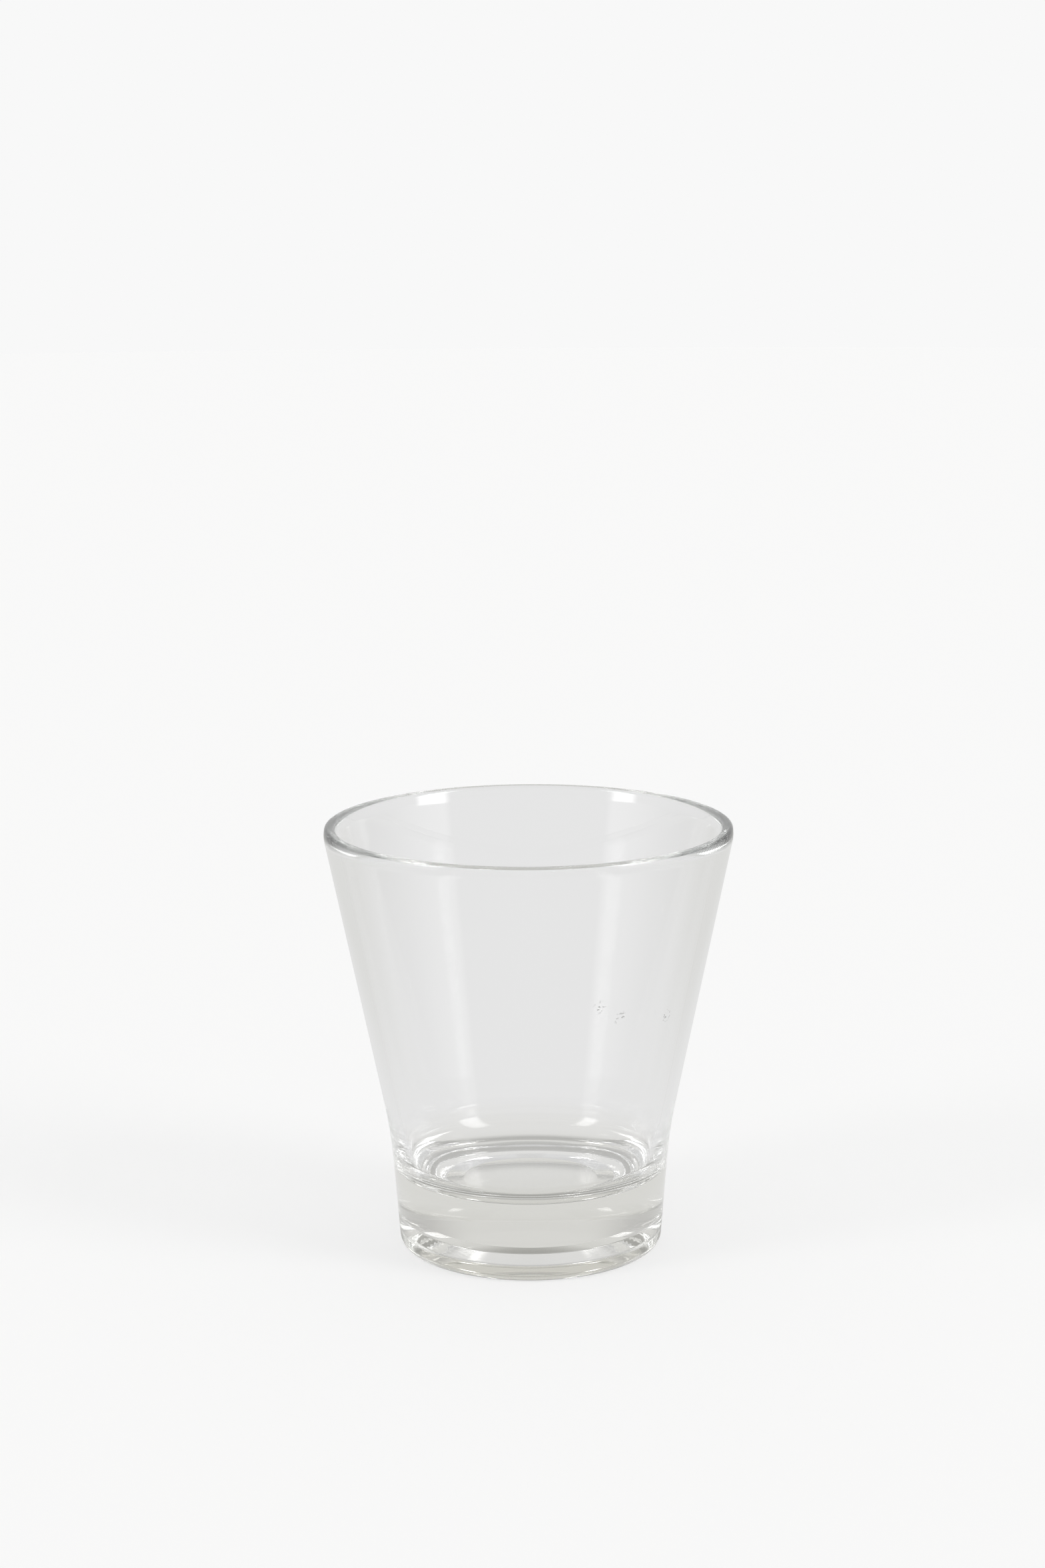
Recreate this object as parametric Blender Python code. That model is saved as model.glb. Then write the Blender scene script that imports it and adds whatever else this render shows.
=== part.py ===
"""Whisky tumbler of clear pressed glass, modelled as one turned solid.

The half section is drawn from its corners, each with its own radius, and is turned once round Z.
Units are metres and +Z is up. The origin is the middle of the flat ring that the glass stands on.
"""

import math

import bmesh
import bpy
from mathutils import Vector

# Overall form
HEIGHT = 0.0965
RIM_DIAMETER = 0.0900
RIM_WALL = 0.0027

# Foot: a nearly straight collar of solid glass under the flared wall
FOOT_DIAMETER = 0.0591
COLLAR_HEIGHT = 0.0267
COLLAR_DRAFT = math.radians(4.3)
FLARE_RADIUS = 0.1000
HEEL_RADIUS = 0.0021

# Inside of the bowl, which opens a little more at the lip
BASE_THICKNESS = 0.0168
WALL_AT_FLOOR = 0.0039
FLOOR_CORNER_RADIUS = 0.0070
LIP_HEIGHT = 0.0028
LIP_FLARE = 0.0004
LIP_RADIUS = 0.0080

# Underside: a narrow flat ring to stand on, round a flat-topped hollow whose side steepens in three slopes
STANDING_RING_WIDTH = 0.00125
PUNT_DEPTH = 0.0055
PUNT_SHOULDER_DROP = 0.0006
PUNT_SHOULDER_WIDTH = 0.0045
PUNT_SLOPE_DROP = 0.0020
PUNT_SLOPE_WIDTH = 0.0045
PUNT_WALL_TAPER = 0.0017
PUNT_TOP_EDGE_RADIUS = 0.0010
PUNT_SIDE_RADIUS = 0.0020
RING_EDGE_RADIUS = 0.0005

# Facets of the solid
SEGMENTS_ROUND = 96
ARC_STEP = math.radians(15)
FLARE_ARC_STEP = math.radians(1.5)
MERGE_DISTANCE = 0.00001
SHARP_ANGLE = math.radians(40)

# Sides of the rim's bead on which a wall touches it
OUTER_SIDE = 1
INNER_SIDE = -1

# Clear soda-lime glass with a trace of green
GLASS_COLOUR = (0.93, 0.96, 0.94, 1.0)
GLASS_ROUGHNESS = 0.02
GLASS_IOR = 1.52


def clear_scene():
    """Remove every object that the open file holds."""
    for item in list(bpy.data.objects):
        bpy.data.objects.remove(item, do_unlink=True)


def arc(centre, radius, start, sweep, step):
    """Return points along an arc, both ends included."""
    count = max(2, math.ceil(abs(sweep) / step))
    angles = [start + sweep * index / count for index in range(count + 1)]
    return [centre + radius * Vector((math.cos(angle), math.sin(angle))) for angle in angles]


def round_corner(before, corner, after, radius, step):
    """Return the arc that rounds a corner, kept within the shorter of its two sides."""
    to_before = before - corner
    to_after = after - corner
    half_angle = to_before.angle(to_after) / 2
    cut = min(radius / math.tan(half_angle), to_before.length, to_after.length)
    radius = cut * math.tan(half_angle)
    to_before.normalize()
    to_after.normalize()
    centre = corner + (to_before + to_after).normalized() * radius / math.sin(half_angle)
    first = corner + to_before * cut - centre
    last = corner + to_after * cut - centre
    return arc(centre, radius, math.atan2(first.y, first.x), -first.angle_signed(last), step)


def touch_angle(point, centre, radius, side):
    """Return the angle on a circle where a line from a point touches it, on its outer or inner side."""
    away = point - centre
    return math.atan2(away.y, away.x) + side * math.acos(radius / away.length)


def punt_section(ring_inner, foot):
    """Return the hollow under the base, from the middle of its flat top out to the ring."""
    slope_foot = ring_inner + Vector((-PUNT_WALL_TAPER, PUNT_DEPTH - PUNT_SHOULDER_DROP - PUNT_SLOPE_DROP))
    shoulder = slope_foot + Vector((-PUNT_SLOPE_WIDTH, PUNT_SLOPE_DROP))
    top_edge = shoulder + Vector((-PUNT_SHOULDER_WIDTH, PUNT_SHOULDER_DROP))
    top_middle = Vector((0, PUNT_DEPTH))
    section = [top_middle]
    section += round_corner(top_middle, top_edge, shoulder, PUNT_TOP_EDGE_RADIUS, ARC_STEP)
    section += round_corner(top_edge, shoulder, slope_foot, PUNT_SIDE_RADIUS, ARC_STEP)
    section += round_corner(shoulder, slope_foot, ring_inner, PUNT_SIDE_RADIUS, ARC_STEP)
    section += round_corner(slope_foot, ring_inner, foot, RING_EDGE_RADIUS, ARC_STEP)
    return section


def glass_section():
    """Return the half section, from the punt round the outside and rim to the middle of the floor."""
    foot_radius = FOOT_DIAMETER / 2
    bead_radius = RIM_WALL / 2
    draft = math.tan(COLLAR_DRAFT)
    ring_inner = Vector((foot_radius - HEEL_RADIUS - STANDING_RING_WIDTH, 0))
    foot = Vector((foot_radius, 0))
    collar_top = Vector((foot_radius + COLLAR_HEIGHT * draft, COLLAR_HEIGHT))
    bead_centre = Vector((RIM_DIAMETER / 2 - bead_radius, HEIGHT - bead_radius))
    floor_edge = Vector((foot_radius + BASE_THICKNESS * draft - WALL_AT_FLOOR, BASE_THICKNESS))
    floor_middle = Vector((0, BASE_THICKNESS))
    lip_foot = Vector((RIM_DIAMETER / 2 - RIM_WALL - LIP_FLARE, HEIGHT - LIP_HEIGHT))

    bead_start = touch_angle(collar_top, bead_centre, bead_radius, OUTER_SIDE)
    bead_end = touch_angle(lip_foot, bead_centre, bead_radius, INNER_SIDE) + math.tau
    bead = arc(bead_centre, bead_radius, bead_start, bead_end - bead_start, ARC_STEP)

    section = punt_section(ring_inner, foot)
    section += round_corner(ring_inner, foot, collar_top, HEEL_RADIUS, ARC_STEP)
    section += round_corner(foot, collar_top, bead[0], FLARE_RADIUS, FLARE_ARC_STEP)
    section += bead
    section += round_corner(bead[-1], lip_foot, floor_edge, LIP_RADIUS, ARC_STEP)
    section += round_corner(lip_foot, floor_edge, floor_middle, FLOOR_CORNER_RADIUS, ARC_STEP)
    section.append(floor_middle)
    return section


def glass_material():
    """Make the clear glass."""
    material = bpy.data.materials.new("clear_glass")
    material.use_nodes = True
    shader = material.node_tree.nodes["Principled BSDF"]
    shader.inputs["Base Color"].default_value = GLASS_COLOUR
    shader.inputs["Metallic"].default_value = 0.0
    shader.inputs["Roughness"].default_value = GLASS_ROUGHNESS
    shader.inputs["IOR"].default_value = GLASS_IOR
    shader.inputs["Transmission Weight"].default_value = 1.0
    material.diffuse_color = GLASS_COLOUR
    return material


def make_tumbler():
    """Turn the half section into the glass."""
    form = bmesh.new()
    corners = [form.verts.new((point.x, 0, point.y)) for point in glass_section()]
    lines = [form.edges.new(pair) for pair in zip(corners, corners[1:])]
    bmesh.ops.spin(
        form,
        geom=corners + lines,
        cent=(0, 0, 0),
        axis=(0, 0, 1),
        angle=math.tau,
        steps=SEGMENTS_ROUND,
        use_merge=True,
    )
    bmesh.ops.remove_doubles(form, verts=form.verts, dist=MERGE_DISTANCE)
    bmesh.ops.recalc_face_normals(form, faces=form.faces)
    mesh = bpy.data.meshes.new("tumbler")
    form.to_mesh(mesh)
    form.free()
    mesh.shade_smooth()
    mesh.set_sharp_from_angle(angle=SHARP_ANGLE)
    mesh.materials.append(glass_material())
    tumbler = bpy.data.objects.new("tumbler", mesh)
    bpy.context.scene.collection.objects.link(tumbler)
    return tumbler


def main():
    clear_scene()
    make_tumbler()


if __name__ == "__main__":
    main()
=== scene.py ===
"""Whisky tumbler of clear pressed glass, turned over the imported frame, in a pale studio.

Units are metres and +Z is up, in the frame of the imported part. The camera stands on the -Y side.
"""

import math

import bmesh
import bpy
from bpy.props import FloatProperty, FloatVectorProperty, IntProperty, PointerProperty
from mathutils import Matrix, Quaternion, Vector


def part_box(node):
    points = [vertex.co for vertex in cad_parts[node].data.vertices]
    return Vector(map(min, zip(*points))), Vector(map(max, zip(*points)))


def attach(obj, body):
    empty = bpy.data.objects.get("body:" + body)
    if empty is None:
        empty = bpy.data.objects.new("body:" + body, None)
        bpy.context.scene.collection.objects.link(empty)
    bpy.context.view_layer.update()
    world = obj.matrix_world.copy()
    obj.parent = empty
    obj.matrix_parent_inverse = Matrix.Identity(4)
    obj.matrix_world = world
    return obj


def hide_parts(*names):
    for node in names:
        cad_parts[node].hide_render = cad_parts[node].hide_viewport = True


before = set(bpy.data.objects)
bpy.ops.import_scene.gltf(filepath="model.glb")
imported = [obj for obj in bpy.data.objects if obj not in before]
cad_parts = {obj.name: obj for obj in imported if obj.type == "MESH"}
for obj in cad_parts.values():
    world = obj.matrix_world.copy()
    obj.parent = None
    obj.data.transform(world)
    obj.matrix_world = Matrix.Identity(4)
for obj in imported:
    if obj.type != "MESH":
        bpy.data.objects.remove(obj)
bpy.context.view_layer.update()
CAD_LOW, CAD_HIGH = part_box("tumbler")

bl_info = {
    "name": "Whisky Tumbler",
    "version": (1, 0, 0),
    "blender": (4, 5, 0),
    "location": "View3D > Sidebar > Tumbler",
    "description": "Makes a clear pressed glass tumbler and the pale studio that it stands in",
    "category": "Object",
}

# Photograph that the camera is set up for, in pixels
PHOTO_WIDTH = 1568
PHOTO_HEIGHT = 2352

# Middles of the worn patches on the front of the wall, as the angle from the front and the height
SCUFFS = (
    (math.radians(22.3), 0.0644),
    (math.radians(30.0), 0.0613),
    (math.radians(50.8), 0.0592),
)

# Noise patterns of the finish: how fine, how broken up, and the level and softness of their edges
SMEAR_SCALE = 45.0
SMEAR_DETAIL = 4.0
SMEAR_LEVEL = 0.62
SMEAR_FADE = 0.10
SCUFF_DETAIL = 2.0
SCUFF_LEVEL = 0.60
SCUFF_FADE = 0.03
WAVE_DETAIL = 0.0

# Light may bend this often inside the glass, which the rim needs
BOUNCES = 96

# A point of the section nearer to the axis than this is turned into one point
AXIS_REACH = 1e-6

# The floor lies just clear of the standing ring
FLOOR_GAP = 0.00005
FLOOR_SEGMENTS = 128

CAMERA_CLIP_START = 0.01
WHITE = (1.0, 1.0, 1.0, 1.0)
BLACK = (0.0, 0.0, 0.0)


class TumblerSizes(bpy.types.PropertyGroup):
    """Sizes of the glass"""

    height: FloatProperty(
        name="Height",
        description="From the standing ring to the top of the rim",
        default=CAD_HIGH.z - CAD_LOW.z,
        unit="LENGTH",
        precision=5,
    )
    rim_diameter: FloatProperty(
        name="Rim Diameter",
        description="Outside of the rim",
        default=CAD_HIGH.x - CAD_LOW.x,
        unit="LENGTH",
        precision=5,
    )
    brow_drop: FloatProperty(
        name="Brow Drop",
        description="Depth under the rim's top at which the wall turns inwards",
        default=0.0020,
        unit="LENGTH",
        precision=5,
    )
    brow_reach: FloatProperty(
        name="Brow Reach",
        description="How far the corner of that turn lies outside the rim before it is rounded",
        default=0.00010,
        unit="LENGTH",
        precision=5,
    )
    brow_radius: FloatProperty(
        name="Brow Radius",
        description="Bend of the wall under the rim",
        default=0.0060,
        unit="LENGTH",
        precision=5,
    )
    rim_inset: FloatProperty(
        name="Rim Inset",
        description="From the brow's corner in to the rim's outer edge",
        default=0.00035,
        unit="LENGTH",
        precision=5,
    )
    rim_wall: FloatProperty(
        name="Rim Wall",
        description="Thickness of the rim's top before it is rounded",
        default=0.0021,
        unit="LENGTH",
        precision=5,
    )
    rim_outer_radius: FloatProperty(
        name="Rim Outer Radius",
        description="Rounding of the rim's outer edge",
        default=0.0009,
        unit="LENGTH",
        precision=5,
    )
    rim_inner_radius: FloatProperty(
        name="Rim Inner Radius",
        description="Rounding of the rim's inner edge",
        default=0.0011,
        unit="LENGTH",
        precision=5,
    )
    foot_diameter: FloatProperty(
        name="Foot Diameter",
        description="Outside of the foot, before its heel is rounded",
        default=0.0591,
        unit="LENGTH",
        precision=5,
    )
    collar_height: FloatProperty(
        name="Collar Height",
        description="Height at which the collar turns into the flared wall",
        default=0.0267,
        unit="LENGTH",
        precision=5,
    )
    collar_draft: FloatProperty(
        name="Collar Draft",
        description="Lean of the collar away from the vertical",
        default=math.radians(4.3),
        subtype="ANGLE",
    )
    flare_radius: FloatProperty(
        name="Flare Radius",
        description="Bend between the collar and the flared wall",
        default=0.1000,
        unit="LENGTH",
        precision=5,
    )
    heel_radius: FloatProperty(
        name="Heel Radius",
        description="Rounding between the collar and the standing ring",
        default=0.0021,
        unit="LENGTH",
        precision=5,
    )
    base_thickness: FloatProperty(
        name="Base Thickness",
        description="Height of the floor of the bowl",
        default=0.0168,
        unit="LENGTH",
        precision=5,
    )
    wall_at_floor: FloatProperty(
        name="Wall at Floor",
        description="Thickness of the wall level with the floor",
        default=0.0039,
        unit="LENGTH",
        precision=5,
    )
    floor_corner_radius: FloatProperty(
        name="Floor Corner Radius",
        description="Rounding between the wall and the floor of the bowl",
        default=0.0070,
        unit="LENGTH",
        precision=5,
    )
    lip_height: FloatProperty(
        name="Lip Height",
        description="Height of the lip, where the inside opens a little more",
        default=0.0028,
        unit="LENGTH",
        precision=5,
    )
    lip_flare: FloatProperty(
        name="Lip Flare",
        description="From the rim's inner edge in to the foot of the lip",
        default=0.00085,
        unit="LENGTH",
        precision=5,
    )
    lip_radius: FloatProperty(
        name="Lip Radius",
        description="Bend between the wall and the lip",
        default=0.0080,
        unit="LENGTH",
        precision=5,
    )
    ring_width: FloatProperty(
        name="Standing Ring Width",
        description="Flat ring under the base",
        default=0.00125,
        unit="LENGTH",
        precision=5,
    )
    punt_depth: FloatProperty(
        name="Punt Depth",
        description="Depth of the hollow under the base",
        default=0.0055,
        unit="LENGTH",
        precision=5,
    )
    punt_shoulder_drop: FloatProperty(
        name="Punt Shoulder Drop",
        description="Fall of the gentle shoulder round the punt's flat top",
        default=0.0006,
        unit="LENGTH",
        precision=5,
    )
    punt_shoulder_width: FloatProperty(
        name="Punt Shoulder Width",
        description="Width of the gentle shoulder",
        default=0.0045,
        unit="LENGTH",
        precision=5,
    )
    punt_slope_drop: FloatProperty(
        name="Punt Slope Drop",
        description="Fall of the slope outside the shoulder",
        default=0.0020,
        unit="LENGTH",
        precision=5,
    )
    punt_slope_width: FloatProperty(
        name="Punt Slope Width",
        description="Width of the slope outside the shoulder",
        default=0.0045,
        unit="LENGTH",
        precision=5,
    )
    punt_wall_taper: FloatProperty(
        name="Punt Wall Taper",
        description="Lean of the punt's steep wall",
        default=0.0017,
        unit="LENGTH",
        precision=5,
    )
    punt_top_edge_radius: FloatProperty(
        name="Punt Top Edge Radius",
        description="Rounding of the edge of the punt's flat top",
        default=0.0010,
        unit="LENGTH",
        precision=5,
    )
    punt_side_radius: FloatProperty(
        name="Punt Side Radius",
        description="Rounding between the slopes of the punt's side",
        default=0.0020,
        unit="LENGTH",
        precision=5,
    )
    ring_edge_radius: FloatProperty(
        name="Ring Edge Radius",
        description="Rounding of the standing ring's inner edge",
        default=0.0005,
        unit="LENGTH",
        precision=5,
    )
    tool_ring_pitch: FloatProperty(
        name="Tool Ring Pitch",
        description="Spacing of the plunger's turning marks round the floor",
        default=0.0008,
        unit="LENGTH",
        precision=5,
    )
    tool_ring_depth: FloatProperty(
        name="Tool Ring Depth",
        description="Depth of the plunger's turning marks",
        default=0.000003,
        unit="LENGTH",
        precision=6,
    )
    tool_ring_inner: FloatProperty(
        name="Tool Ring Inner Radius",
        description="Radius at which the turning marks begin",
        default=0.0155,
        unit="LENGTH",
        precision=5,
    )
    segments: IntProperty(
        name="Segments",
        description="Facets round the axis",
        default=240,
        min=32,
    )
    ring_facets: IntProperty(
        name="Ring Facets",
        description="Facets across one turning mark",
        default=8,
        min=4,
    )
    chord_error: FloatProperty(
        name="Chord Error",
        description="How far a facet of a rounding may lie inside it",
        default=5e-7,
        unit="LENGTH",
        precision=6,
    )
    run_step: FloatProperty(
        name="Run Step",
        description="Largest distance between two points of a straight run",
        default=0.0024,
        unit="LENGTH",
        precision=5,
    )


class GlassFinish(bpy.types.PropertyGroup):
    """Finish of the glass"""

    absorption: FloatVectorProperty(
        name="Absorption",
        description="Light that the glass lets through over its depth",
        default=(0.24, 0.29, 0.24),
        size=3,
        subtype="COLOR",
        min=0.0,
        max=1.0,
    )
    absorption_density: FloatProperty(
        name="Absorption Density",
        description="Strength of the tint for each metre of glass",
        default=1.0,
    )
    wall_tint: FloatVectorProperty(
        name="Wall Tint",
        description="Colour of the thin wall",
        default=(1.0, 1.0, 1.0),
        size=3,
        subtype="COLOR",
        min=0.0,
        max=1.0,
    )
    foot_tint: FloatVectorProperty(
        name="Foot Tint",
        description="Colour of the thick foot",
        default=(0.885, 0.878, 0.838),
        size=3,
        subtype="COLOR",
        min=0.0,
        max=1.0,
    )
    foot_tint_top: FloatProperty(
        name="Foot Tint Top",
        description="Height on the collar at which the foot's colour ends",
        default=0.0215,
        unit="LENGTH",
        precision=5,
    )
    foot_tint_fade: FloatProperty(
        name="Foot Tint Fade",
        description="Half the height over which the foot's colour ends on the collar",
        default=0.0040,
        unit="LENGTH",
        precision=5,
    )
    punt_tint_fade: FloatProperty(
        name="Punt Tint Fade",
        description="Half the height over which the foot's colour ends over the punt",
        default=0.0020,
        unit="LENGTH",
        precision=5,
    )
    outside_fade: FloatProperty(
        name="Outside Fade",
        description="Half the distance over which the collar's colour gives way to the bowl's",
        default=0.0003,
        unit="LENGTH",
        precision=5,
    )
    ior: FloatProperty(
        name="IOR",
        description="Refraction of soda-lime glass",
        default=1.52,
    )
    polish_roughness: FloatProperty(
        name="Polished Roughness",
        description="Roughness where the glass is clean",
        default=0.0,
        subtype="FACTOR",
    )
    smear_roughness: FloatProperty(
        name="Smear Roughness",
        description="Roughness where it has been handled and washed",
        default=0.012,
        subtype="FACTOR",
    )
    wave_depth: FloatProperty(
        name="Wave Depth",
        description="Depth of the slow waves that pressing leaves on the glass",
        default=0.00003,
        unit="LENGTH",
        precision=6,
    )
    wave_scale: FloatProperty(
        name="Wave Scale",
        description="Fineness of the slow waves",
        default=28.0,
    )
    scuff_depth: FloatProperty(
        name="Scuff Depth",
        description="Depth of the marks in a worn patch",
        default=0.00002,
        unit="LENGTH",
        precision=6,
    )
    scuff_radius: FloatProperty(
        name="Scuff Radius",
        description="Reach of a worn patch",
        default=0.0013,
        unit="LENGTH",
        precision=5,
    )
    scuff_fade: FloatProperty(
        name="Scuff Fade",
        description="Half the distance over which a worn patch fades out",
        default=0.00065,
        unit="LENGTH",
        precision=6,
    )
    scuff_scale: FloatProperty(
        name="Scuff Scale",
        description="Fineness of the marks in a worn patch",
        default=1500.0,
    )
    scuff_tint: FloatVectorProperty(
        name="Scuff Tint",
        description="Colour of the grime in the marks",
        default=(0.35, 0.35, 0.34),
        size=3,
        subtype="COLOR",
        min=0.0,
        max=1.0,
    )


class StudioLook(bpy.types.PropertyGroup):
    """Light levels, floor and camera of the studio"""

    background: FloatProperty(
        name="Background",
        description="Level of the background to the camera",
        default=0.939,
    )
    paper: FloatProperty(
        name="Paper",
        description="Level of the pale sweep that the glass shows",
        default=0.790,
    )
    room: FloatProperty(
        name="Room",
        description="Level of the room overhead",
        default=0.60,
    )
    side: FloatProperty(
        name="Side",
        description="Level of the room beside the sweep",
        default=0.58,
    )
    side_near: FloatProperty(
        name="Side Near Edge",
        description="Angle from the camera at which the sides of the room begin",
        default=math.radians(95),
        subtype="ANGLE",
    )
    side_far: FloatProperty(
        name="Side Far Edge",
        description="Angle from the camera at which the sweep takes over from the sides",
        default=math.radians(150),
        subtype="ANGLE",
    )
    side_fade: FloatProperty(
        name="Side Fade",
        description="Half the angle over which the sides of the room begin and end",
        default=math.radians(14),
        subtype="ANGLE",
    )
    sweep_top: FloatProperty(
        name="Sweep Top",
        description="Height at which the pale sweep ends",
        default=math.radians(47.5),
        subtype="ANGLE",
    )
    sweep_fade: FloatProperty(
        name="Sweep Fade",
        description="Half the angle over which the sweep ends",
        default=math.radians(12.5),
        subtype="ANGLE",
    )
    softbox: FloatProperty(
        name="Softbox",
        description="Level of the two softboxes at the front",
        default=6.0,
    )
    right_box_near: FloatProperty(
        name="Right Softbox Near",
        description="Angle from the camera to the near side of the softbox on the right",
        default=math.radians(53),
        subtype="ANGLE",
    )
    right_box_far: FloatProperty(
        name="Right Softbox Far",
        description="Angle from the camera to the far side of the softbox on the right",
        default=math.radians(73),
        subtype="ANGLE",
    )
    right_box_low: FloatProperty(
        name="Right Softbox Low",
        description="Height of the lower edge of the softbox on the right",
        default=math.radians(12),
        subtype="ANGLE",
    )
    right_box_high: FloatProperty(
        name="Right Softbox High",
        description="Height of the upper edge of the softbox on the right",
        default=math.radians(50),
        subtype="ANGLE",
    )
    left_box_near: FloatProperty(
        name="Left Softbox Near",
        description="Angle from the camera to the near side of the softbox on the left",
        default=math.radians(55),
        subtype="ANGLE",
    )
    left_box_far: FloatProperty(
        name="Left Softbox Far",
        description="Angle from the camera to the far side of the softbox on the left",
        default=math.radians(70),
        subtype="ANGLE",
    )
    left_box_low: FloatProperty(
        name="Left Softbox Low",
        description="Height of the lower edge of the softbox on the left",
        default=math.radians(15),
        subtype="ANGLE",
    )
    left_box_high: FloatProperty(
        name="Left Softbox High",
        description="Height of the upper edge of the softbox on the left",
        default=math.radians(46),
        subtype="ANGLE",
    )
    softbox_fade: FloatProperty(
        name="Softbox Fade",
        description="Half the angle over which a softbox's edge fades",
        default=math.radians(3),
        subtype="ANGLE",
    )
    screen: FloatProperty(
        name="Screen",
        description="Glow of the screen under each softbox, over the sweep's level",
        default=0.60,
    )
    screen_near: FloatProperty(
        name="Screen Near Side",
        description="Angle from the camera to a screen's near side",
        default=math.radians(51),
        subtype="ANGLE",
    )
    screen_far: FloatProperty(
        name="Screen Far Side",
        description="Angle from the camera at which a screen has faded out",
        default=math.radians(95),
        subtype="ANGLE",
    )
    screen_top: FloatProperty(
        name="Screen Top",
        description="Height at which a screen ends",
        default=math.radians(35),
        subtype="ANGLE",
    )
    screen_edge: FloatProperty(
        name="Screen Edge",
        description="Half the angle over which a screen's near side fades",
        default=math.radians(1.5),
        subtype="ANGLE",
    )
    floor_radius: FloatProperty(
        name="Floor Radius",
        description="Reach of the floor",
        default=4.0,
        unit="LENGTH",
    )
    floor_colour: FloatVectorProperty(
        name="Floor Colour",
        description="Paper of the floor, which takes the shadow",
        default=(0.30, 0.30, 0.297),
        size=3,
        subtype="COLOR",
        min=0.0,
        max=1.0,
    )
    floor_lift: FloatProperty(
        name="Floor Lift",
        description="Glow that brings the lit floor to the background's level for the camera",
        default=0.660,
    )
    # Painted shade: the paper that the glass shows is dimmer well to either side
    floor_side_shade: FloatVectorProperty(
        name="Floor Side",
        description="Level of the paper well to either side, as the glass shows it",
        default=(0.71, 0.71, 0.695),
        size=3,
        subtype="COLOR",
        min=0.0,
        max=1.0,
    )
    floor_side_near: FloatProperty(
        name="Floor Side Near",
        description="Distance to either side at which the paper has half dimmed",
        default=0.10,
        unit="LENGTH",
    )
    floor_side_near_fade: FloatProperty(
        name="Floor Side Near Fade",
        description="Half the distance over which the paper dims",
        default=0.06,
        unit="LENGTH",
    )
    floor_side_far: FloatProperty(
        name="Floor Side Far",
        description="Distance to either side at which the paper has half come back",
        default=0.70,
        unit="LENGTH",
    )
    floor_side_far_fade: FloatProperty(
        name="Floor Side Far Fade",
        description="Half the distance over which the paper comes back",
        default=0.40,
        unit="LENGTH",
    )
    ring_shade: FloatVectorProperty(
        name="Ring Shade",
        description="Level of the paper round the standing ring, as the glass shows it",
        default=(0.40, 0.40, 0.39),
        size=3,
        subtype="COLOR",
        min=0.0,
        max=1.0,
    )
    ring_shade_inner: FloatProperty(
        name="Ring Shade Inner Radius",
        description="Inner radius of the shade at the standing ring",
        default=0.0232,
        unit="LENGTH",
        precision=5,
    )
    ring_shade_outer: FloatProperty(
        name="Ring Shade Outer Radius",
        description="Outer radius of the shade at the standing ring",
        default=0.0375,
        unit="LENGTH",
        precision=5,
    )
    ring_shade_fade: FloatProperty(
        name="Ring Shade Fade",
        description="Half the distance over which that shade fades",
        default=0.0034,
        unit="LENGTH",
        precision=5,
    )
    foot_shade: FloatVectorProperty(
        name="Foot Shade",
        description="Level of the shaded paper under the foot, as the glass shows it",
        default=(0.70, 0.70, 0.685),
        size=3,
        subtype="COLOR",
        min=0.0,
        max=1.0,
    )
    foot_shade_radius: FloatProperty(
        name="Foot Shade Radius",
        description="Reach of the shade under the foot",
        default=0.038,
        unit="LENGTH",
        precision=5,
    )
    foot_shade_fade: FloatProperty(
        name="Foot Shade Fade",
        description="Half the distance over which that shade fades",
        default=0.012,
        unit="LENGTH",
        precision=5,
    )
    elevation: FloatProperty(
        name="Camera Elevation",
        description="Height of the camera over the glass, as an angle",
        default=math.radians(16.015),
        subtype="ANGLE",
    )
    distance: FloatProperty(
        name="Camera Distance",
        description="From the middle of the glass to the camera",
        default=0.6574,
        unit="LENGTH",
    )
    roll: FloatProperty(
        name="Camera Roll",
        description="Tilt of the photograph",
        default=math.radians(-0.331),
        subtype="ANGLE",
    )
    focal_pixels: FloatProperty(
        name="Focal Length",
        description="Focal length in pixels of the photograph",
        default=4398.1,
        subtype="PIXEL",
    )
    centre_x: FloatProperty(
        name="View Centre X",
        description="Pixel column of the photograph where the camera points",
        default=794.73,
        subtype="PIXEL",
    )
    centre_y: FloatProperty(
        name="View Centre Y",
        description="Pixel row of the photograph where the camera points",
        default=1551.33,
        subtype="PIXEL",
    )


def round_corner(before, corner, after, radius, chord_error):
    """Return the arc that rounds a corner, as points and the directions out of the glass there."""
    to_before = (before - corner).normalized()
    to_after = (after - corner).normalized()
    half_angle = to_before.angle(to_after) / 2
    cut = radius / math.tan(half_angle)
    centre = corner + (to_before + to_after).normalized() * radius / math.sin(half_angle)
    first = corner + to_before * cut - centre
    sweep = -first.angle_signed(corner + to_after * cut - centre)
    start = math.atan2(first.y, first.x)
    # A chord over a small angle lies radius * angle ** 2 / 8 inside its arc
    count = math.ceil(abs(sweep) / math.sqrt(8 * chord_error / radius)) + 1
    angles = [start + sweep * index / count for index in range(count + 1)]
    spokes = [Vector((math.cos(angle), math.sin(angle))) for angle in angles]
    return [(centre + radius * spoke, math.copysign(1, sweep) * spoke) for spoke in spokes]


def even_run(points, step):
    """Return a line of points and directions with no two neighbours further apart than the step."""
    run = [points[0]]
    for place, facing in points[1:]:
        last_place, last_facing = run[-1]
        count = max(1, math.ceil((place - last_place).length / step))
        shares = [index / count for index in range(1, count + 1)]
        run += [
            (last_place.lerp(place, share), last_facing.lerp(facing, share))
            for share in shares
        ]
    return run


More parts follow.
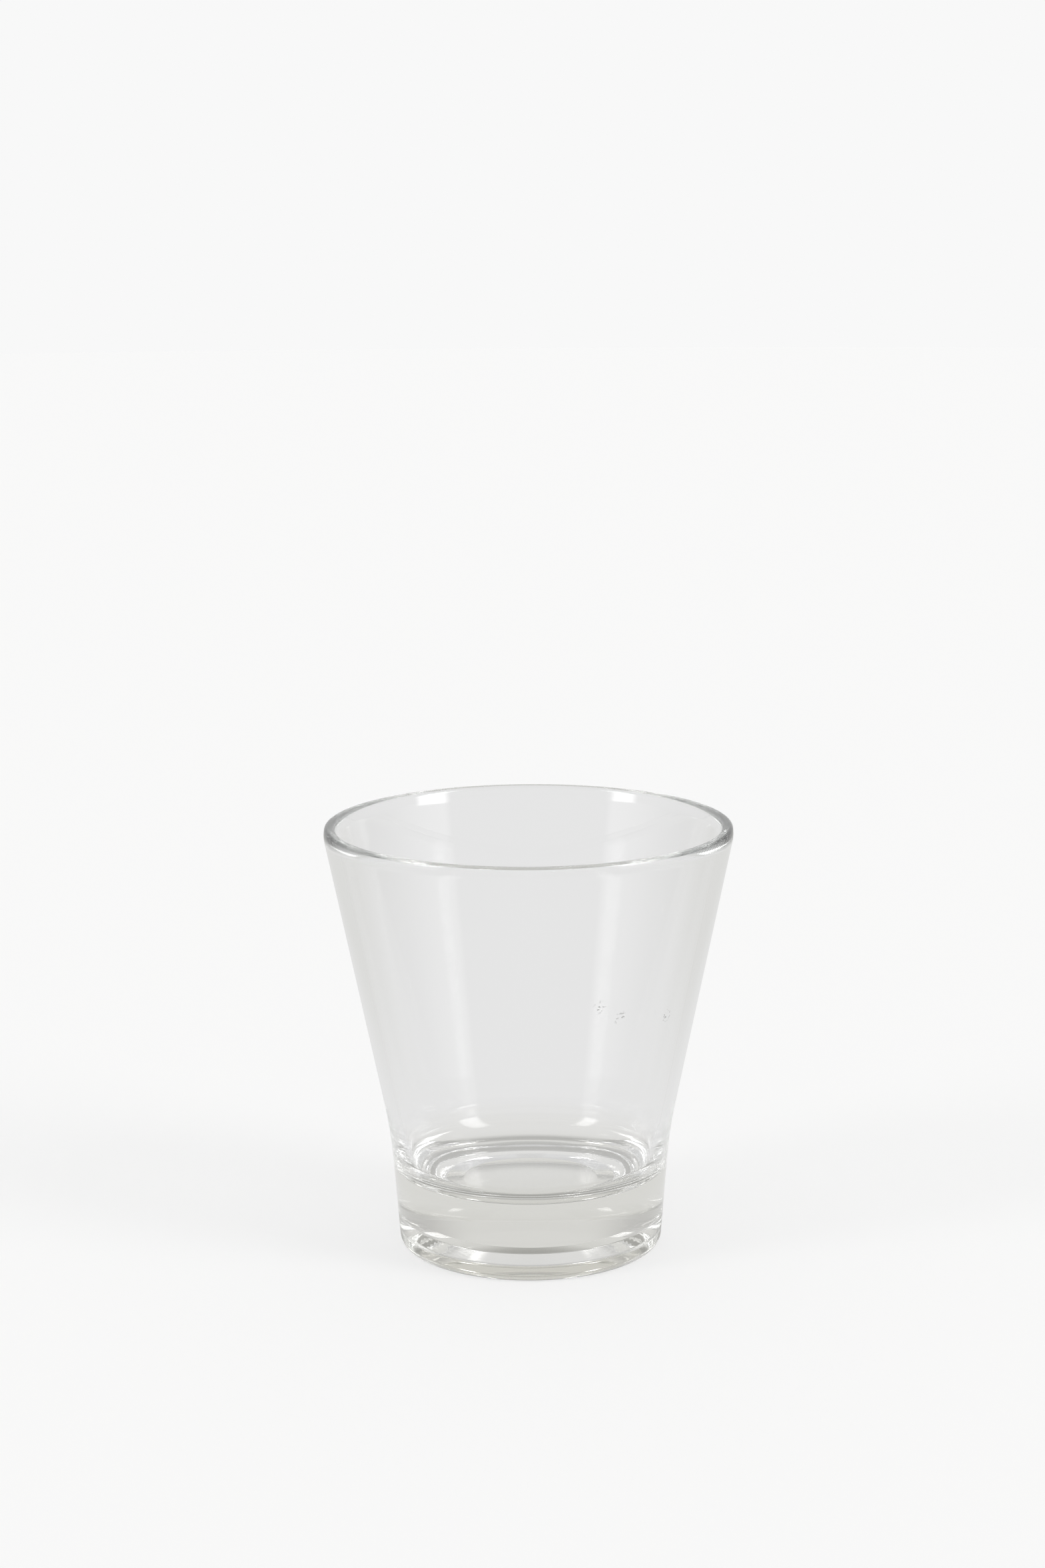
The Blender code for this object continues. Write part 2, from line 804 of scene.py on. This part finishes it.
def underside_corners(sizes):
    """Return the corners under the glass with their radii, from the punt's middle to the heel."""
    foot_radius = sizes.foot_diameter / 2
    ring_inner = Vector((foot_radius - sizes.heel_radius - sizes.ring_width, 0))
    wall_top = sizes.punt_depth - sizes.punt_shoulder_drop - sizes.punt_slope_drop
    slope_foot = ring_inner + Vector((-sizes.punt_wall_taper, wall_top))
    shoulder = slope_foot + Vector((-sizes.punt_slope_width, sizes.punt_slope_drop))
    top_edge = shoulder + Vector((-sizes.punt_shoulder_width, sizes.punt_shoulder_drop))
    return [
        (Vector((0, sizes.punt_depth)), 0),
        (top_edge, sizes.punt_top_edge_radius),
        (shoulder, sizes.punt_side_radius),
        (slope_foot, sizes.punt_side_radius),
        (ring_inner, sizes.ring_edge_radius),
        (Vector((foot_radius, 0)), sizes.heel_radius),
    ]


def wall_corners(sizes):
    """Return the corners of the wall with their radii, over the rim and to the floor's middle."""
    foot_radius = sizes.foot_diameter / 2
    draft = math.tan(sizes.collar_draft)
    brow = Vector((sizes.rim_diameter / 2 + sizes.brow_reach, sizes.height - sizes.brow_drop))
    rim_outer = Vector((brow.x - sizes.rim_inset, sizes.height))
    rim_inner = Vector((rim_outer.x - sizes.rim_wall, sizes.height))
    lip_foot = Vector((rim_inner.x - sizes.lip_flare, sizes.height - sizes.lip_height))
    floor_radius = foot_radius + sizes.base_thickness * draft - sizes.wall_at_floor
    floor_edge = Vector((floor_radius, sizes.base_thickness))
    collar_top = Vector((foot_radius + sizes.collar_height * draft, sizes.collar_height))
    return [
        (collar_top, sizes.flare_radius),
        (brow, sizes.brow_radius),
        (rim_outer, sizes.rim_outer_radius),
        (rim_inner, sizes.rim_inner_radius),
        (lip_foot, sizes.lip_radius),
        (floor_edge, sizes.floor_corner_radius),
        (Vector((0, sizes.base_thickness)), 0),
    ]


def tool_ring(radius, sizes, outer):
    """Return how far the plunger's turning marks lift the floor at a radius."""
    share = (radius - sizes.tool_ring_inner) / (outer - sizes.tool_ring_inner)
    fade = math.sin(math.pi * share) if 0 < share < 1 else 0.0
    return sizes.tool_ring_depth * fade * math.sin(math.tau * radius / sizes.tool_ring_pitch)


def tool_rings(start, sizes):
    """Return the part of the floor that has the plunger's turning marks, from its edge inwards."""
    step = sizes.tool_ring_pitch / sizes.ring_facets
    count = math.ceil((start.x - sizes.tool_ring_inner) / step)
    rings = []
    for index in range(1, count + 1):
        radius = start.x - step * index
        lift = tool_ring(radius, sizes, start.x)
        lift_outside = tool_ring(radius + step / 2, sizes, start.x)
        lift_inside = tool_ring(radius - step / 2, sizes, start.x)
        slope = (lift_outside - lift_inside) / step
        rings.append((Vector((radius, start.y + lift)), Vector((-slope, 1)).normalized()))
    return rings


def glass_section(sizes):
    """Return the half section, from the punt's middle over the rim to the middle of the floor.

    Each of its points comes with the direction that faces out of the glass there.
    """
    corners = underside_corners(sizes) + wall_corners(sizes)
    section = [(corners[0][0], Vector((0, -1)))]
    for (before, _), (corner, radius), (after, _) in zip(corners, corners[1:], corners[2:]):
        section += round_corner(before, corner, after, radius, sizes.chord_error)
    section = even_run(section, sizes.run_step)
    return section + tool_rings(section[-1][0], sizes) + [(corners[-1][0], Vector((0, 1)))]


def wall_radius(sizes, height):
    """Return the outside radius of the flared wall at a height."""
    (collar_top, _), (brow, _) = wall_corners(sizes)[:2]
    return collar_top.lerp(brow, (height - collar_top.y) / (brow.y - collar_top.y)).x


def link_value(links, value, socket):
    """Join a socket to a node's output, or set it to a number."""
    if isinstance(value, (int, float)):
        socket.default_value = value
    else:
        links.new(value, socket)


def add_math(tree, operation, first, second=0.0):
    """Add a math node and return its output."""
    node = tree.nodes.new("ShaderNodeMath")
    node.operation = operation
    link_value(tree.links, first, node.inputs[0])
    link_value(tree.links, second, node.inputs[1])
    return node.outputs[0]


def add_step(tree, value, middle, half_width):
    """Add a soft step that rises from 0 to 1 round a value."""
    node = tree.nodes.new("ShaderNodeMapRange")
    node.interpolation_type = "SMOOTHSTEP"
    tree.links.new(value, node.inputs["Value"])
    node.inputs["From Min"].default_value = middle - half_width
    node.inputs["From Max"].default_value = middle + half_width
    return node.outputs["Result"]


def add_band(tree, value, low, high, half_width):
    """Add a soft band that is 1 between two values."""
    rise = add_step(tree, value, low, half_width)
    fall = add_math(tree, "SUBTRACT", 1.0, add_step(tree, value, high, half_width))
    return add_math(tree, "MULTIPLY", rise, fall)


def add_mix(tree, share, first, second):
    """Add a mix of two numbers and return its output."""
    node = tree.nodes.new("ShaderNodeMix")
    node.data_type = "FLOAT"
    link_value(tree.links, share, node.inputs["Factor"])
    link_value(tree.links, first, node.inputs["A"])
    link_value(tree.links, second, node.inputs["B"])
    return node.outputs["Result"]


def add_colour_mix(tree, share, first, second):
    """Add a mix of two colours and return its output."""
    node = tree.nodes.new("ShaderNodeMix")
    node.data_type = "RGBA"
    tree.links.new(share, node.inputs["Factor"])
    # Sockets of every data type share their names, so these are found by identifier
    sockets = {socket.identifier: socket for socket in [*node.inputs, *node.outputs]}
    for colour, socket in ((first, sockets["A_Color"]), (second, sockets["B_Color"])):
        if isinstance(colour, bpy.types.NodeSocket):
            tree.links.new(colour, socket)
        else:
            socket.default_value = (*colour, 1.0)
    return sockets["Result_Color"]


def add_noise(tree, place, scale, detail):
    """Add a noise pattern over the glass and return its height."""
    node = tree.nodes.new("ShaderNodeTexNoise")
    tree.links.new(place, node.inputs["Vector"])
    node.inputs["Scale"].default_value = scale
    node.inputs["Detail"].default_value = detail
    return node.outputs["Fac"]


def clear_glass(finish, sizes):
    """Make the clear glass, with a tinted foot, smears from handling and worn patches."""
    material = bpy.data.materials.new("clear_glass")
    material.use_nodes = True
    tree = material.node_tree
    shader = tree.nodes["Principled BSDF"]
    shader.inputs["IOR"].default_value = finish.ior
    shader.inputs["Transmission Weight"].default_value = 1.0

    place = tree.nodes.new("ShaderNodeTexCoord").outputs["Object"]
    position = tree.nodes.new("ShaderNodeSeparateXYZ")
    tree.links.new(place, position.inputs["Vector"])
    height = position.outputs["Z"]
    squares = [add_math(tree, "POWER", position.outputs[axis], 2.0) for axis in "XY"]
    from_axis = add_math(tree, "SQRT", add_math(tree, "ADD", *squares))
    outside_radius = sizes.foot_diameter / 2 - sizes.ring_width
    outside = add_step(tree, from_axis, outside_radius, finish.outside_fade)
    punt_top = sizes.punt_depth + finish.punt_tint_fade
    over_punt = add_step(tree, height, punt_top, finish.punt_tint_fade)
    over_foot = add_step(tree, height, finish.foot_tint_top, finish.foot_tint_fade)
    in_bowl = add_math(tree, "SUBTRACT", over_punt, outside)
    beyond_foot = add_math(tree, "MAXIMUM", over_foot, in_bowl)
    clear_tint = add_colour_mix(tree, beyond_foot, finish.foot_tint, finish.wall_tint)

    smear_noise = add_noise(tree, place, SMEAR_SCALE, SMEAR_DETAIL)
    smears = add_step(tree, smear_noise, SMEAR_LEVEL, SMEAR_FADE)
    roughness = add_mix(tree, smears, finish.polish_roughness, finish.smear_roughness)
    tree.links.new(roughness, shader.inputs["Roughness"])

    worn = 0.0
    for angle, scuff_height in SCUFFS:
        reach = wall_radius(sizes, scuff_height)
        near = tree.nodes.new("ShaderNodeVectorMath")
        near.operation = "DISTANCE"
        tree.links.new(place, near.inputs[0])
        middle = (reach * math.sin(angle), -reach * math.cos(angle), scuff_height)
        near.inputs[1].default_value = middle
        away = add_step(tree, near.outputs["Value"], finish.scuff_radius, finish.scuff_fade)
        worn = add_math(tree, "MAXIMUM", worn, add_math(tree, "SUBTRACT", 1.0, away))
    scuff_noise = add_noise(tree, place, finish.scuff_scale, SCUFF_DETAIL)
    scratches = add_step(tree, scuff_noise, SCUFF_LEVEL, SCUFF_FADE)
    marks = add_math(tree, "MULTIPLY", worn, scratches)
    tint = add_colour_mix(tree, marks, clear_tint, finish.scuff_tint)
    tree.links.new(tint, shader.inputs["Base Color"])

    wave_noise = add_noise(tree, place, finish.wave_scale, WAVE_DETAIL)
    waves = add_math(tree, "MULTIPLY", wave_noise, finish.wave_depth / finish.scuff_depth)
    bump = tree.nodes.new("ShaderNodeBump")
    bump.inputs["Distance"].default_value = finish.scuff_depth
    tree.links.new(add_math(tree, "ADD", waves, marks), bump.inputs["Height"])
    tree.links.new(bump.outputs["Normal"], shader.inputs["Normal"])

    body = tree.nodes.new("ShaderNodeVolumeAbsorption")
    body.inputs["Color"].default_value = (*finish.absorption, 1.0)
    body.inputs["Density"].default_value = finish.absorption_density
    tree.links.new(body.outputs["Volume"], tree.nodes["Material Output"].inputs["Volume"])
    return material


class TUMBLER_OT_press_glass(bpy.types.Operator):
    """Turn the whole glass from its half section and give it its clear finish"""

    bl_idname = "tumbler.press_glass"
    bl_label = "Press Glass"

    def execute(self, context):
        sizes = context.scene.tumbler_sizes
        form = bmesh.new()
        rings = []
        facings = []
        turns = [math.tau * index / sizes.segments for index in range(sizes.segments)]
        full_turn = [Vector((math.cos(turn), math.sin(turn), 0)) for turn in turns]
        for place, facing in glass_section(sizes):
            spokes = full_turn if place.x > AXIS_REACH else [Vector()]
            level = Vector((0, 0, place.y))
            rings.append([form.verts.new(spoke * place.x + level) for spoke in spokes])
            facings += [spoke * facing.x + Vector((0, 0, facing.y)) for spoke in spokes]
        for lower, upper in zip(rings, rings[1:]):
            for index in range(sizes.segments):
                after = (index + 1) % sizes.segments
                corners = [lower[turn % len(lower)] for turn in (index, after)]
                corners += [upper[turn % len(upper)] for turn in (after, index)]
                form.faces.new(dict.fromkeys(corners))
        mesh = bpy.data.meshes.new("tumbler_glass")
        form.to_mesh(mesh)
        form.free()
        mesh.shade_smooth()
        # Exact directions of the section, because clear glass shows every facet
        mesh.normals_split_custom_set_from_vertices(facings)
        mesh.materials.append(clear_glass(context.scene.tumbler_finish, sizes))
        glass = bpy.data.objects.new("tumbler_glass", mesh)
        context.scene.collection.objects.link(glass)
        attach(glass, "root")
        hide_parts("tumbler")
        return {"FINISHED"}


def studio_world(look):
    """Make the pale sweep, the dimmer room overhead, and a softbox over a screen on each side."""
    world = bpy.data.worlds.new("studio")
    world.use_nodes = True
    tree = world.node_tree
    direction = tree.nodes.new("ShaderNodeSeparateXYZ")
    sky = tree.nodes.new("ShaderNodeTexCoord").outputs["Generated"]
    tree.links.new(sky, direction.inputs["Vector"])
    across, away, up = direction.outputs
    rise = add_math(tree, "ARCSINE", up)
    toward = add_math(tree, "MULTIPLY", away, -1.0)
    from_camera = add_math(tree, "ARCTAN2", add_math(tree, "ABSOLUTE", across), toward)

    overhead = add_step(tree, rise, look.sweep_top, look.sweep_fade)
    beside = add_band(tree, from_camera, look.side_near, look.side_far, look.side_fade)
    level = add_mix(tree, overhead, add_mix(tree, beside, look.paper, look.side), look.room)
    for hand, near, far, low, high in (
        (1.0, look.right_box_near, look.right_box_far, look.right_box_low, look.right_box_high),
        (-1.0, look.left_box_near, look.left_box_far, look.left_box_low, look.left_box_high),
    ):
        turn = add_math(tree, "ARCTAN2", add_math(tree, "MULTIPLY", across, hand), toward)
        box_turn = add_band(tree, turn, near, far, look.softbox_fade)
        box_rise = add_band(tree, rise, low, high, look.softbox_fade)
        level = add_mix(tree, add_math(tree, "MULTIPLY", box_turn, box_rise), level, look.softbox)
    screen_rise = add_step(tree, from_camera, look.screen_near, look.screen_edge)
    screen_middle = (look.screen_near + look.screen_far) / 2
    screen_fade = add_step(tree, from_camera, screen_middle, look.screen_far - screen_middle)
    screen_over = add_step(tree, rise, look.screen_top, look.sweep_fade)
    screen = add_math(tree, "MULTIPLY", screen_rise, add_math(tree, "SUBTRACT", 1.0, screen_fade))
    screen = add_math(tree, "MULTIPLY", screen, add_math(tree, "SUBTRACT", 1.0, screen_over))
    level = add_math(tree, "ADD", level, add_math(tree, "MULTIPLY", screen, look.screen))
    seen = tree.nodes.new("ShaderNodeLightPath").outputs["Is Camera Ray"]
    shown = add_mix(tree, seen, level, look.background)
    tree.links.new(shown, tree.nodes["Background"].inputs["Strength"])
    tree.nodes["Background"].inputs["Color"].default_value = WHITE
    return world


def floor_paper(look):
    """Make the floor's pale paper.

    The camera sees it lit, with its shadow, and lifted to the background's level. The glass sees a
    glow that is dimmer under the foot, round the standing ring and well to either side: a painted
    shadow under the foot and round the ring, and painted shade to either side.
    """
    material = bpy.data.materials.new("floor_paper")
    material.use_nodes = True
    tree = material.node_tree
    shader = tree.nodes["Principled BSDF"]
    shader.inputs["Roughness"].default_value = 1.0
    shader.inputs["Specular IOR Level"].default_value = 0.0
    ray = tree.nodes.new("ShaderNodeLightPath")
    bent = [ray.outputs["Is Glossy Ray"], ray.outputs["Is Transmission Ray"]]
    in_glass = add_math(tree, "MAXIMUM", *bent)
    reach = tree.nodes.new("ShaderNodeVectorMath")
    reach.operation = "LENGTH"
    place = tree.nodes.new("ShaderNodeTexCoord").outputs["Object"]
    tree.links.new(place, reach.inputs[0])
    from_axis = reach.outputs["Value"]
    clear_of_foot = add_step(tree, from_axis, look.foot_shade_radius, look.foot_shade_fade)
    position = tree.nodes.new("ShaderNodeSeparateXYZ")
    tree.links.new(place, position.inputs["Vector"])
    # Painted shade: the glow that the glass shows is dimmed well to either side
    aside = add_math(tree, "ABSOLUTE", position.outputs["X"])
    near_side = add_step(tree, aside, look.floor_side_near, look.floor_side_near_fade)
    far_side = add_step(tree, aside, look.floor_side_far, look.floor_side_far_fade)
    beside = add_math(tree, "SUBTRACT", near_side, far_side)
    glow = add_colour_mix(tree, beside, [look.paper] * 3, look.floor_side_shade)
    # Painted shadow: the glow that the glass shows is dimmer under the foot
    glow = add_colour_mix(tree, clear_of_foot, look.foot_shade, glow)
    # Painted contact shadow: a darker band round the standing ring in the glow that the glass shows
    ring_edges = (look.ring_shade_inner, look.ring_shade_outer)
    at_ring = add_band(tree, from_axis, *ring_edges, look.ring_shade_fade)
    glow = add_colour_mix(tree, at_ring, glow, look.ring_shade)
    lit = add_colour_mix(tree, in_glass, look.floor_colour, BLACK)
    tree.links.new(lit, shader.inputs["Base Color"])
    glow = add_colour_mix(tree, ray.outputs["Is Camera Ray"], glow, [look.floor_lift] * 3)
    tree.links.new(glow, shader.inputs["Emission Color"])
    shader.inputs["Emission Strength"].default_value = 1.0
    return material


class TUMBLER_OT_lay_studio(bpy.types.Operator):
    """Lay the pale floor, light the studio and set the camera at the photograph's view"""

    bl_idname = "tumbler.lay_studio"
    bl_label = "Lay Studio"

    def execute(self, context):
        scene = context.scene
        look = scene.tumbler_studio
        scene.world = studio_world(look)
        scene.view_settings.view_transform = "Standard"
        scene.cycles.max_bounces = BOUNCES
        scene.cycles.transmission_bounces = BOUNCES
        scene.cycles.glossy_bounces = BOUNCES

        form = bmesh.new()
        bmesh.ops.create_circle(
            form, cap_ends=True, radius=look.floor_radius, segments=FLOOR_SEGMENTS
        )
        mesh = bpy.data.meshes.new("floor")
        form.to_mesh(mesh)
        form.free()
        mesh.materials.append(floor_paper(look))
        floor = bpy.data.objects.new("floor", mesh)
        floor.location.z = -FLOOR_GAP
        scene.collection.objects.link(floor)

        lens = bpy.data.cameras.new("camera")
        lens.lens = look.focal_pixels * lens.sensor_width / PHOTO_HEIGHT
        lens.shift_x = (PHOTO_WIDTH / 2 - look.centre_x) / PHOTO_HEIGHT
        lens.shift_y = (look.centre_y - PHOTO_HEIGHT / 2) / PHOTO_HEIGHT
        lens.clip_start = CAMERA_CLIP_START
        camera = bpy.data.objects.new("camera", lens)
        middle = (CAD_LOW + CAD_HIGH) / 2
        back = Vector((0, -math.cos(look.elevation), math.sin(look.elevation)))
        camera.location = middle + look.distance * back
        camera.rotation_mode = "QUATERNION"
        roll = Quaternion((0, 0, 1), look.roll)
        camera.rotation_quaternion = (-back).to_track_quat("-Z", "Y") @ roll
        scene.collection.objects.link(camera)
        scene.camera = camera
        return {"FINISHED"}


class TUMBLER_PT_sidebar(bpy.types.Panel):
    """Sizes, finish and studio of the tumbler"""

    bl_label = "Whisky Tumbler"
    bl_space_type = "VIEW_3D"
    bl_region_type = "UI"
    bl_category = "Tumbler"

    def draw(self, context):
        for operator, group in (
            (TUMBLER_OT_press_glass, context.scene.tumbler_sizes),
            (None, context.scene.tumbler_finish),
            (TUMBLER_OT_lay_studio, context.scene.tumbler_studio),
        ):
            column = self.layout.column(align=True)
            for name in group.__annotations__:
                column.prop(group, name)
            if operator:
                column.operator(operator.bl_idname)


CLASSES = (
    TumblerSizes,
    GlassFinish,
    StudioLook,
    TUMBLER_OT_press_glass,
    TUMBLER_OT_lay_studio,
    TUMBLER_PT_sidebar,
)


def register():
    for item in CLASSES:
        bpy.utils.register_class(item)
    bpy.types.Scene.tumbler_sizes = PointerProperty(type=TumblerSizes)
    bpy.types.Scene.tumbler_finish = PointerProperty(type=GlassFinish)
    bpy.types.Scene.tumbler_studio = PointerProperty(type=StudioLook)


def unregister():
    del bpy.types.Scene.tumbler_studio
    del bpy.types.Scene.tumbler_finish
    del bpy.types.Scene.tumbler_sizes
    for item in reversed(CLASSES):
        bpy.utils.unregister_class(item)


def main():
    register()
    bpy.ops.tumbler.press_glass()
    bpy.ops.tumbler.lay_studio()


if __name__ == "__main__":
    main()
